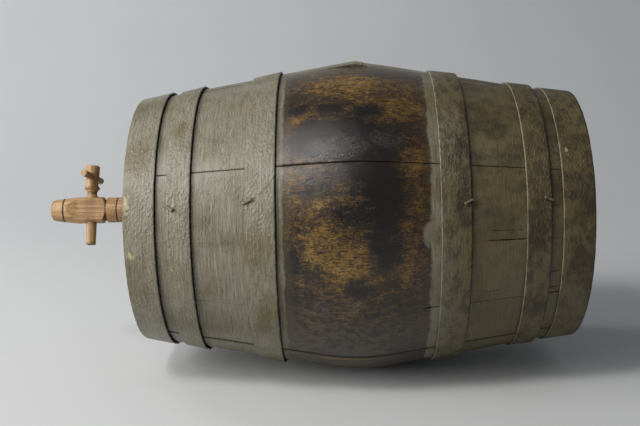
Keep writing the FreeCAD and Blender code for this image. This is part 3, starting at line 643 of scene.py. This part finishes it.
# Scorched and handled bands on the tap, the key and its pin: distance from the key's middle,
# reach, both in millimetres, and strength.
TAP_MARKS = (
    (-31.4, 1.6, 0.9), (-46.5, 2.5, 0.35), (19.2, 2.6, 0.8), (33.5, 1.5, 0.85), (0, 9, 0.25),
    (60, 25, 0.7),
)
KEY_MARKS = ((26.9, 1.4, 0.35), (20.4, 2.2, 0.6), (40.8, 5.5, 0.3), (-42, 4, 0.5), (-16, 3, 0.4))
PIN_MARKS = ((40.8, 3, 0.1),)


def turned_beech(name, along, marks):
    """Turned beech with its grain along one axis, and scorched or handled bands across it."""
    finish = Finish(name, (KEY_PLACE, 0, TAP_HEIGHT), TAP_LEAN)
    long, fine, broad = 30, 0.8, 4.0
    sizes = {"X": (long, fine, fine), "Z": (fine, fine, long)}[along]
    wide = {"X": (long * 2, broad, broad), "Z": (broad, broad, long * 2)}[along]
    run = {"X": finish.x, "Z": finish.z}[along] / MM
    grain = finish.noise(sizes, 4, 0.6, distort=0.2)
    figure = finish.noise(wide, 3, 0.6, shift=(3, 5, 1), distort=0.3)
    flecks = finish.noise(tuple(size * 0.25 + 0.2 for size in sizes), 2, 0.6, shift=(6, 2, 8))
    patches = finish.noise((9, 7, 7), 3, 0.6, shift=(1, 7, 2))
    colour = finish.blend(figure.step(0.38, 0.62), BEECH, BEECH_WARM)
    colour = finish.blend(grain.step(0.50, 0.34) * 0.65, colour, BEECH_DARK)
    colour = finish.blend(flecks.step(0.60, 0.70) * 0.5, colour, BEECH_DARK)
    colour = finish.blend(patches.step(0.56, 0.72) * 0.45, colour, BEECH_DARK)
    for centre, reach, strength in marks:
        band = (run + (patches - 0.5) * 1.5 - centre).size().step(reach, reach * 0.45)
        colour = finish.blend(band * strength, colour, SCORCHED)
    bump = finish.bump(grain * 0.6 + flecks * 0.4 + patches * 0.5, 0.35, 0.8)
    rough = 0.5 + grain * 0.15 - patches * 0.1
    return finish.apply(Base_Color=colour, Roughness=rough, Normal=bump)


def raw_oak(name):
    """Bare oak for the bung and the dowels, rubbed dark."""
    finish = Finish(name)
    rings = finish.noise((2.2, 14, 2.2), 4, 0.6, distort=0.4)
    pores = finish.noise((0.7, 0.7, 0.7), 2, 0.6)
    colour = finish.blend(rings.step(0.38, 0.62), OAK_BROWN, OAK_DARK)
    colour = finish.blend(pores.step(0.56, 0.68) * 0.7, colour, SOOT_AND_SHADE)
    bump = finish.bump(rings * 0.6 + pores * 0.5, 0.4, 0.8)
    return finish.apply(Base_Color=colour, Roughness=0.5 + rings * 0.2, Normal=bump)


def old_iron():
    """Nails and rivets: old iron with a skin of paint."""
    finish = Finish("painted_old_nail")
    patches = finish.noise((4, 4, 4), 4, 0.65)
    fine = finish.noise((0.9, 0.9, 0.9), 3, 0.6)
    colour = finish.blend(patches.step(0.50, 0.64) * 0.8, SAGE, RUST)
    # Darker and browner towards the plain end: partly rust and dirt, partly painted shade.
    colour = finish.blend(finish.along.step(0, 100) * 0.7, colour, DRAB)
    colour = finish.blend(fine.step(0.55, 0.68) * 0.6, colour, GRIME_AND_SHADE)
    bump = finish.bump(patches * 0.6 + fine * 0.5, 0.4, 0.9)
    return finish.apply(Base_Color=colour, Roughness=0.45 + fine * 0.25, Normal=bump)


def stage_paint():
    """Matt paint on the floor and the backdrop."""
    finish = Finish("stage_paint", Roughness=0.8)
    tone = finish.noise((500, 500, 500), 2)
    return finish.apply(Base_Color=finish.blend(tone, (0.50, 0.51, 0.515), (0.54, 0.55, 0.555)))


# ---------------------------------------------------------------- shaping helpers

def clean(shape):
    """Merge doubles and point every face outwards."""
    bmesh.ops.remove_doubles(shape, verts=shape.verts, dist=0.5e-6)
    bmesh.ops.recalc_face_normals(shape, faces=shape.faces)


def wire(shape, points):
    """A closed outline of vertices and edges."""
    verts = [shape.verts.new(point) for point in points]
    edges = [shape.edges.new(pair) for pair in zip(verts, verts[1:] + verts[:1])]
    return verts + edges


def close_ends(shape):
    """Fill every open outline, and cut the fills to triangles."""
    open_edges = [edge for edge in shape.edges if len(edge.link_faces) < 2]
    filled = bmesh.ops.holes_fill(shape, edges=open_edges, sides=0)["faces"]
    bmesh.ops.triangulate(shape, faces=filled)


def rounded(corners, radius, steps=3):
    """A closed outline with each corner rounded by no more than its two sides allow."""
    made = []
    count = len(corners)
    for index, corner in enumerate(corners):
        here = Vector(corner)
        back = Vector(corners[index - 1]) - here
        onward = Vector(corners[(index + 1) % count]) - here
        reach = min(radius, back.length * 0.45, onward.length * 0.45)
        first = here + back.normalized() * reach
        last = here + onward.normalized() * reach
        for step in range(steps + 1):
            share = step / steps
            made.append(tuple(first.lerp(here, share).lerp(here.lerp(last, share), share)))
    return made


def divided(points, longest):
    """A closed outline whose sides are split so that none is longer than that."""
    made = []
    for first, last in zip(points, points[1:] + points[:1]):
        count = max(1, math.ceil(math.dist(first, last) / longest))
        for step in range(count):
            made.append(tuple(a + (b - a) * step / count for a, b in zip(first, last)))
    return made


def finished(node, shape, finish, body):
    """Make a shape the piece that stands for a CAD node, riding on its body."""
    name = f"{node}_finished"
    mesh = bpy.data.meshes.new(name)
    shape.to_mesh(mesh)
    shape.free()
    mesh.materials.append(finish)
    for face in mesh.polygons:
        face.use_smooth = True
    mesh.set_sharp_from_angle(angle=math.radians(SHARP_ANGLE))
    piece = bpy.data.objects.new(name, mesh)
    bpy.context.scene.collection.objects.link(piece)
    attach(piece, body)
    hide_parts(node)
    return piece


def softened(node, finish, body, width):
    """A copy of a CAD node's mesh with its edges rounded."""
    shape = bmesh.new()
    shape.from_mesh(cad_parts[node].data)
    bmesh.ops.remove_doubles(shape, verts=shape.verts, dist=1e-6)
    bmesh.ops.dissolve_limit(
        shape, angle_limit=math.radians(0.3), verts=shape.verts, edges=shape.edges)
    bmesh.ops.recalc_face_normals(shape, faces=shape.faces)
    piece = finished(node, shape, finish, body)
    bevel = piece.modifiers.new("rounded_edges", "BEVEL")
    bevel.width = width * MM
    bevel.segments = 3
    bevel.limit_method = "ANGLE"
    bevel.angle_limit = math.radians(28)
    bevel.use_clamp_overlap = False
    return piece


# ---------------------------------------------------------------- staves

# Seams from the bung stave's front edge onwards: how far each stands open in millimetres, then
# stretches along X (from, to, extra opening).
SEAMS = (
    (0.30, ((-60, 80, 0.4), (-8, 45, 1.2))),
    (0.06, ((14, 66, 0.4), (128, 172, 0.1))),
    (0.40, ((-80, 80, 0.35),)),
    (0.05, ((138, 172, 0.9), (205, 214, 0.3))),
    (0.10, ((72, 84, 0.9), (120, 170, 0.25), (206, 214, 1.0))),
    (0.60, ((-80, 80, 1.6),)),
    (0.3, ()),
    (0.15, ((-170, -130, 0.4),)),
    (0.5, ()),
    (0.1, ((120, 175, 0.5),)),
    (0.4, ((-84, 84, 0.3),)),
    (0.1, ()),
    (0.55, ()),
    (0.2, ((-70, 20, 0.6),)),
)
# Splits along the grain: stave number, lean, from and to along X, width and depth in millimetres.
SPLITS = (
    (2, 41.0, 28, 74, 0.6, 1.0),
    (3, 84.3, 138, 171, 0.8, 1.2),
    (4, 108.6, 128, 150, 0.6, 0.8),
    (2, 47.0, 206, 214.5, 0.7, 1.2),
    (4, 102.5, 203, 214.5, 1.0, 1.8),
    (4, 110.0, 203, 214.5, 1.3, 2.2),
    (5, 135.0, 205, 214.5, 1.2, 2.0),
    (9, 228.0, -60, 10, 0.8, 1.2),
    (12, 304.0, 20, 83, 0.8, 1.2),
)
BREAK_ALONG = 9.5 * MM
BREAK_HALF_WIDTH = 0.5 * MM
FINE_STEP = 2.1 * MM
ARRIS = 1.1 * MM
ARRIS_WEAR = 0.8 * MM
PROUD_STEP = 0.12 * MM
BROAD_DENTS = 0.22 * MM
FINE_DENTS = 0.08 * MM


@functools.cache
def seam_opening(seam, along):
    """How far a seam stands open at a place along it."""
    width, stretches = SEAMS[seam]
    width *= 1 + 0.5 * ripple((along, 0, 0), (20, 20, 20), seam)
    place = along / MM
    for low, high, extra in stretches:
        fade = min(6.0, (high - low) / 3)
        inside = ease(place, low - fade, low) * ease(place, high + fade, high)
        width += extra * inside * (1 + 0.8 * ripple((along, 0, 0), (6, 6, 6), seam + 9))
    return max(0.02, width) * MM


def stave_section(kinked):
    """Long section of a stave: outside, rim, chime bevel, groove for the head, and inside."""
    count = round(2 * HALF / FINE_STEP)
    places = [-HALF + 2 * HALF * step / count for step in range(1, count)]
    if kinked:
        clear = 2.6 * BREAK_HALF_WIDTH
        places = [place for place in places
                  if abs(place - BREAK_ALONG) > clear and abs(place) > FINE_STEP / 2]
        lips = [BREAK_ALONG + BREAK_HALF_WIDTH * part for part in (-2.2, -1, 0, 1, 2.2)]
        places = sorted(places + [0.0] + lips)
    rim = outer_radius(HALF)
    outside = [(-HALF + 0.3 * MM, rim - 0.3 * MM)]
    outside += [(place, outer_radius(place, kinked)) for place in places]
    outside.append((HALF - 0.3 * MM, rim - 0.3 * MM))

    def inside(along):
        return outer_radius(along, kinked) - STAVE_THICKNESS

    bevel = HALF - BEVEL_LENGTH
    floor = inside(CROZE_CENTRE) + CROZE_DEPTH
    half_end = [
        (HALF, rim - 0.9 * MM),
        (HALF, rim - RIM_WALL + 0.8 * MM),
        (HALF - 0.8 * MM, rim - RIM_WALL),
        (bevel, inside(bevel)),
        (CROZE_CENTRE + 4.5 * MM, inside(CROZE_CENTRE + 4.5 * MM)),
        (CROZE_CENTRE + 2.5 * MM, floor),
        (CROZE_CENTRE - 2.5 * MM, floor),
        (CROZE_CENTRE - 4.5 * MM, inside(CROZE_CENTRE - 4.5 * MM)),
        (HALF / 2, inside(HALF / 2)),
        (BEND, inside(BEND)),
        (BEND / 2, inside(BEND / 2)),
    ]
    other_end = [(-along, radius) for along, radius in reversed(half_end)]
    return outside + half_end + [(0, inside(0))] + other_end


def stave_shares(number, start, width, face):
    """Places across a stave's face, from 0 to 1, close together at its arrises and splits."""
    count = round(face / FINE_STEP)
    shares = [step / count for step in range(1, count)]
    for split_stave, lean, *_, split_width, _ in SPLITS:
        if split_stave == number:
            middle = (lean - start) / width
            half_width = split_width * MM / 2 / face
            shares = [share for share in shares if abs(share - middle) > 2.4 * half_width]
            shares += [middle + half_width * part for part in (-2, -1, 0, 1, 2)]
    arris = [0, 0.35 * MM / face, ARRIS / face]
    return sorted(shares + arris + [1 - share for share in arris])


def split_depth(number, along, arc, start, width, face):
    """How deep the splits in a stave are at a place on its face."""
    depth = 0.0
    for split_stave, lean, low, high, split_width, deep in SPLITS:
        if split_stave == number:
            away = abs(arc - (lean - start) / width * face) / (split_width * MM / 2)
            place = along / MM
            inside = ease(place, low - 1.5, low + 3) * ease(place, high + 1.5, high - 3)
            depth += deep * MM * inside * max(0.0, 1 - away)
    return depth


def break_depth(along, share):
    """How far the broken stave's face is sunk near the break across it."""
    gap = abs(along - BREAK_ALONG)
    depth = 2.4 * MM * ease(share, 0.10, 0.35) * max(0.0, 1 - gap / BREAK_HALF_WIDTH)
    behind = ease(along, BREAK_ALONG, BREAK_ALONG + BREAK_HALF_WIDTH)
    return depth + 0.5 * MM * behind * ease(along, 45 * MM, 10 * MM)


def make_stave(number, start, width, finish):
    """A stave with worn arrises, open seams, splits along the grain and an uneven face."""
    kinked = number == len(STAVE_WIDTHS)
    node = "bung_stave" if kinked else f"stave_{number:02d}"
    face = math.radians(width) * CONE_RADIUS
    shares = stave_shares(number, start, width, face)
    steps = len(shares) - 1
    shape = bmesh.new()
    section = [around(along, radius, start) for along, radius in stave_section(kinked)]
    bmesh.ops.spin(shape, geom=wire(shape, section), cent=(0, 0, AXIS), axis=(1, 0, 0),
                   angle=math.radians(width), steps=steps, use_duplicate=False)
    close_ends(shape)
    highest = outer_radius(0, True) - 0.05 * MM
    proud = PROUD_STEP * math.sin(number * 2.4)
    for vert in shape.verts:
        radius, lean = polar(vert.co)
        along = vert.co.x
        turned = (lean - start + 180) % 360 - 180
        share = shares[min(steps, max(0, round(turned / width * steps)))]
        before = seam_opening(number - 1, along) / 2
        after = seam_opening(number % len(STAVE_WIDTHS), along) / 2
        outer = radius > outer_radius(along, kinked) - 1.2 * MM
        if not outer:
            before = after = 0.02 * MM
        arc = min(max(share * face, before), face - after)
        edge = min(arc - before, face - after - arc)
        if outer:
            opening = before if share < 0.5 else after
            worn = min(ARRIS_WEAR, opening * 1.6 + 0.05 * MM)
            radius -= worn * max(0.0, 1 - edge / ARRIS) ** 2
            radius += proud * ease(edge, 0, 8 * MM) * ease(HALF - abs(along), 0, 40 * MM)
            radius += BROAD_DENTS * (ripple(vert.co, (50, 30, 30), 1) - 0.6)
            radius += FINE_DENTS * ripple(vert.co, (30, 4, 4), 3)
            radius -= split_depth(number, along, arc, start, width, face)
            if kinked:
                radius -= break_depth(along, share)
                if abs(along - BREAK_ALONG) < 1.5 * MM:
                    along += 1.3 * MM * ripple((share * 9 * MM, 0, 0), (3, 3, 3), 5)
            radius = min(radius, highest)
        vert.co = around(along, radius, start + arc / face * width)
        vert.co.z = max(vert.co.z, 0.0)
    clean(shape)
    if kinked:
        bore_bung_hole(shape)
    return finished(node, shape, finish, "cask")


def bore_bung_hole(shape):
    """Cut the tapered bung hole through the bung stave."""
    inner, outer = 150 * MM, 190 * MM
    drill = bmesh.new()
    turn = Matrix.Rotation(math.radians(BUNG_LEAN), 4, "X")
    middle = turn @ Vector((0, 0, (inner + outer) / 2)) + Vector((0, 0, AXIS))
    mouth = BUNG_RADIUS + BUNG_SLACK
    bmesh.ops.create_cone(
        drill, cap_ends=True, segments=HOLE_SIDES, depth=outer - inner,
        radius1=mouth - BUNG_TAPER * (BUNG_TOP - inner),
        radius2=mouth + BUNG_TAPER * (outer - BUNG_TOP),
        matrix=Matrix.Translation(middle) @ turn)
    things = []
    for name, source in (("stave", shape), ("drill", drill)):
        mesh = bpy.data.meshes.new(name)
        source.to_mesh(mesh)
        things.append(bpy.data.objects.new(name, mesh))
        bpy.context.scene.collection.objects.link(things[-1])
    drill.free()
    cut = things[0].modifiers.new("bung_hole", "BOOLEAN")
    cut.object = things[1]
    cut.operation = "DIFFERENCE"
    cut.solver = "EXACT"
    bored = things[0].evaluated_get(bpy.context.evaluated_depsgraph_get())
    result = bpy.data.meshes.new_from_object(bored)
    shape.clear()
    shape.from_mesh(result)
    for thing in things:
        mesh = thing.data
        bpy.data.objects.remove(thing)
        bpy.data.meshes.remove(mesh)
    bpy.data.meshes.remove(result)


# ---------------------------------------------------------------- hoops, rivets and nails

def hoop_edges(place, side):
    """Where a hoop starts and ends along X."""
    centre, width, _ = HOOPS[place]
    return (side * centre - width / 2) * MM, (side * centre + width / 2) * MM


def hoop_radius(place, side, along):
    """Inside radius of a hoop, which stands clear of the staves towards its +X edge."""
    low, high = hoop_edges(place, side)
    share = (along - low) / (high - low)
    start = outer_radius(low) + HOOP_FIT
    return start + (outer_radius(high) + HOOP_LIFT - start) * share


def make_hoop(end, place, side, finish):
    """A band of hammered strip iron and the overlapping end that is riveted to it."""
    low, high = hoop_edges(place, side)
    lap = HOOPS[place][2]
    shape = bmesh.new()
    for layer, angle, steps in ((0, 360, HOOP_SIDES), (1, LAP_ANGLE, LAP_SIDES)):
        floor = HOOP_IRON * layer
        corners = [(low, hoop_radius(place, side, low) + floor),
                   (high, hoop_radius(place, side, high) + floor),
                   (high, hoop_radius(place, side, high) + floor + HOOP_IRON),
                   (low, hoop_radius(place, side, low) + floor + HOOP_IRON)]
        outline = divided(rounded(corners, HOOP_ROUNDING), HOOP_FACET)
        section = [around(along, radius, lap - angle / 2) for along, radius in outline]
        bmesh.ops.spin(shape, geom=wire(shape, section), cent=(0, 0, AXIS), axis=(1, 0, 0),
                       angle=math.radians(angle), steps=steps, use_merge=layer == 0,
                       use_duplicate=False)
    close_ends(shape)
    seed = low / MM
    for vert in shape.verts:
        radius, lean = polar(vert.co)
        along = vert.co.x
        share = (along - low) / (high - low)
        loose = ease(share, 0.55, 1.0)
        radius += 0.35 * MM * loose * ripple(vert.co, (60, 25, 25), seed)
        radius += 0.12 * MM * ripple(vert.co, (9, 9, 9), seed + 2)
        radius += 0.05 * MM * ripple(vert.co, (3, 5, 5), seed + 4)
        border = 1 - ease(min(share, 1 - share), 0.0, 0.12)
        along += 0.3 * MM * border * ripple(vert.co, (500, 7, 7), seed + 6)
        vert.co = around(min(HALF, max(-HALF, along)), radius, lean)
    clean(shape)
    finished(f"{end}_{place}_hoop", shape, finish, "cask")


def make_rivets(end, place, side, finish):
    """Two hammered rivet heads on a hoop's lap."""
    shape = bmesh.new()
    low, high = hoop_edges(place, side)
    middle = (low + high) / 2
    slope = (hoop_radius(place, side, high) - hoop_radius(place, side, low)) / (high - low)
    dome = ((0, -0.6), (4.5, -0.6), (4.6, 0.1), (4.2, 0.9), (3.2, 1.5), (1.8, 1.85), (0, 1.95))
    for sign in (-1, 1):
        verts = [shape.verts.new((across * MM, 0, up * MM)) for across, up in dome]
        edges = [shape.edges.new(pair) for pair in zip(verts, verts[1:])]
        bmesh.ops.spin(shape, geom=verts + edges, cent=(0, 0, 0), axis=(0, 0, 1),
                       angle=2 * math.pi, steps=RIVET_SIDES, use_merge=True, use_duplicate=False)
        # The rivet just turned is at the origin, and the one before it is already in place.
        new = [vert for vert in shape.verts if vert.co.length < 10 * MM]
        for vert in new:
            vert.co.z += 0.25 * MM * ripple(vert.co, (3, 3, 3), sign + low / MM) * (vert.co.z > 0)
        tilt = Matrix.Rotation(-math.atan(slope), 4, "Y")
        turn = Matrix.Rotation(math.radians(HOOPS[place][2] + sign * RIVET_ANGLE), 4, "X")
        seat = Vector((middle, 0, hoop_radius(place, side, middle) + 2 * HOOP_IRON))
        seated = Matrix.Translation((0, 0, AXIS)) @ turn @ Matrix.Translation(seat) @ tilt
        bmesh.ops.transform(shape, matrix=seated, verts=new)
    clean(shape)
    finished(f"{end}_{place}_rivets", shape, finish, "cask")


# A clenched nail from its foot in the stave to its tip: distance in from the hoop's edge, height
# above the hoop, and thickness, in millimetres.
CLENCHED_NAIL = (
    (-1.9, -5.0, 2.4), (-1.9, -1.0, 2.4), (-1.6, 0.9, 2.4), (-0.6, 1.7, 2.5), (1.2, 1.75, 2.7),
    (3.6, 1.5, 2.9), (5.8, 1.35, 3.1), (6.6, 1.6, 4.4), (7.5, 1.7, 4.6), (8.0, 1.5, 3.0))


def make_nails(end, place, side, finish):
    """Nails driven beside a hoop and bent over its edge."""
    shape = bmesh.new()
    edge = hoop_edges(place, side)[0 if side < 0 else 1]
    for lean in NAIL_LEANS:
        bend = NAIL_SWAY * math.sin(lean + edge * 40)
        places = []
        for inward, height, _ in CLENCHED_NAIL:
            along = edge - inward * MM * side
            radius = hoop_radius(place, side, along) + HOOP_IRON + height * MM
            drift = bend * max(0.0, inward) / 8
            places.append(around(along, radius, lean + math.degrees(drift * MM / radius)))
        across = around(0, 1, lean + 90) - around(0, 0, lean)
        loops = []
        for index, (point, (_, _, thick)) in enumerate(zip(places, CLENCHED_NAIL)):
            before = places[max(0, index - 1)]
            after = places[min(len(places) - 1, index + 1)]
            facing = (after - before).normalized()
            beside = (across - facing * across.dot(facing)).normalized()
            matrix = Matrix((beside, facing.cross(beside), facing)).transposed().to_4x4()
            ring = bmesh.ops.create_circle(
                shape, segments=NAIL_SIDES, radius=thick / 2 * MM,
                matrix=Matrix.Translation(point) @ matrix)["verts"]
            loops.append(list({link for vert in ring for link in vert.link_edges}))
        for first, last in zip(loops, loops[1:]):
            bmesh.ops.bridge_loops(shape, edges=first + last)
    close_ends(shape)
    clean(shape)
    finished(f"{end}_{place}_nails", shape, finish, "cask")


# ---------------------------------------------------------------- putting it together

set_camera()
set_stage()
set_lights()

staves = painted_oak("painted_oak", True)
bung_stave = painted_oak("painted_bung_stave", False)
start = FIRST_SEAM_LEAN
for number, width in enumerate(STAVE_WIDTHS, 1):
    make_stave(number, start, width, bung_stave if number == len(STAVE_WIDTHS) else staves)
    start += width

head = painted_head()
fastener = old_iron()
dowel = raw_oak("dowel_oak")
for end, side in (("tap_end", -1), ("plain_end", 1)):
    for seed, place in enumerate(HOOPS):
        low, high = (edge / MM for edge in hoop_edges(place, side))
        stains, chips = HOOP_STAINS[end, place], HOOP_CHIPS.get((end, place), ())
        name = f"painted_{end}_{place}_hoop"
        iron = painted_iron(name, low, high, seed + 4 * side, stains, chips)
        make_hoop(end, place, side, iron)
        make_rivets(end, place, side, fastener)
    for place in ("quarter", "bilge"):
        make_nails(end, place, side, fastener)
    for number in range(1, 6):
        softened(f"{end}_head_board_{number}", head, "cask", 0.8)
    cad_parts[f"{end}_head_dowels"].data.materials.clear()
    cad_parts[f"{end}_head_dowels"].data.materials.append(dowel)

tap_beech = turned_beech("turned_beech", "X", TAP_MARKS)
key_beech = turned_beech("key_beech", "Z", KEY_MARKS)
pin_beech = turned_beech("pin_beech", "Z", PIN_MARKS)
softened("tap_body", tap_beech, "tap", 0.4)
softened("tap_key", key_beech, "key", 0.3)
softened("key_pin", pin_beech, "key", 0.5)
softened("bung", raw_oak("bung_oak"), "bung", 0.5)

low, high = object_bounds()
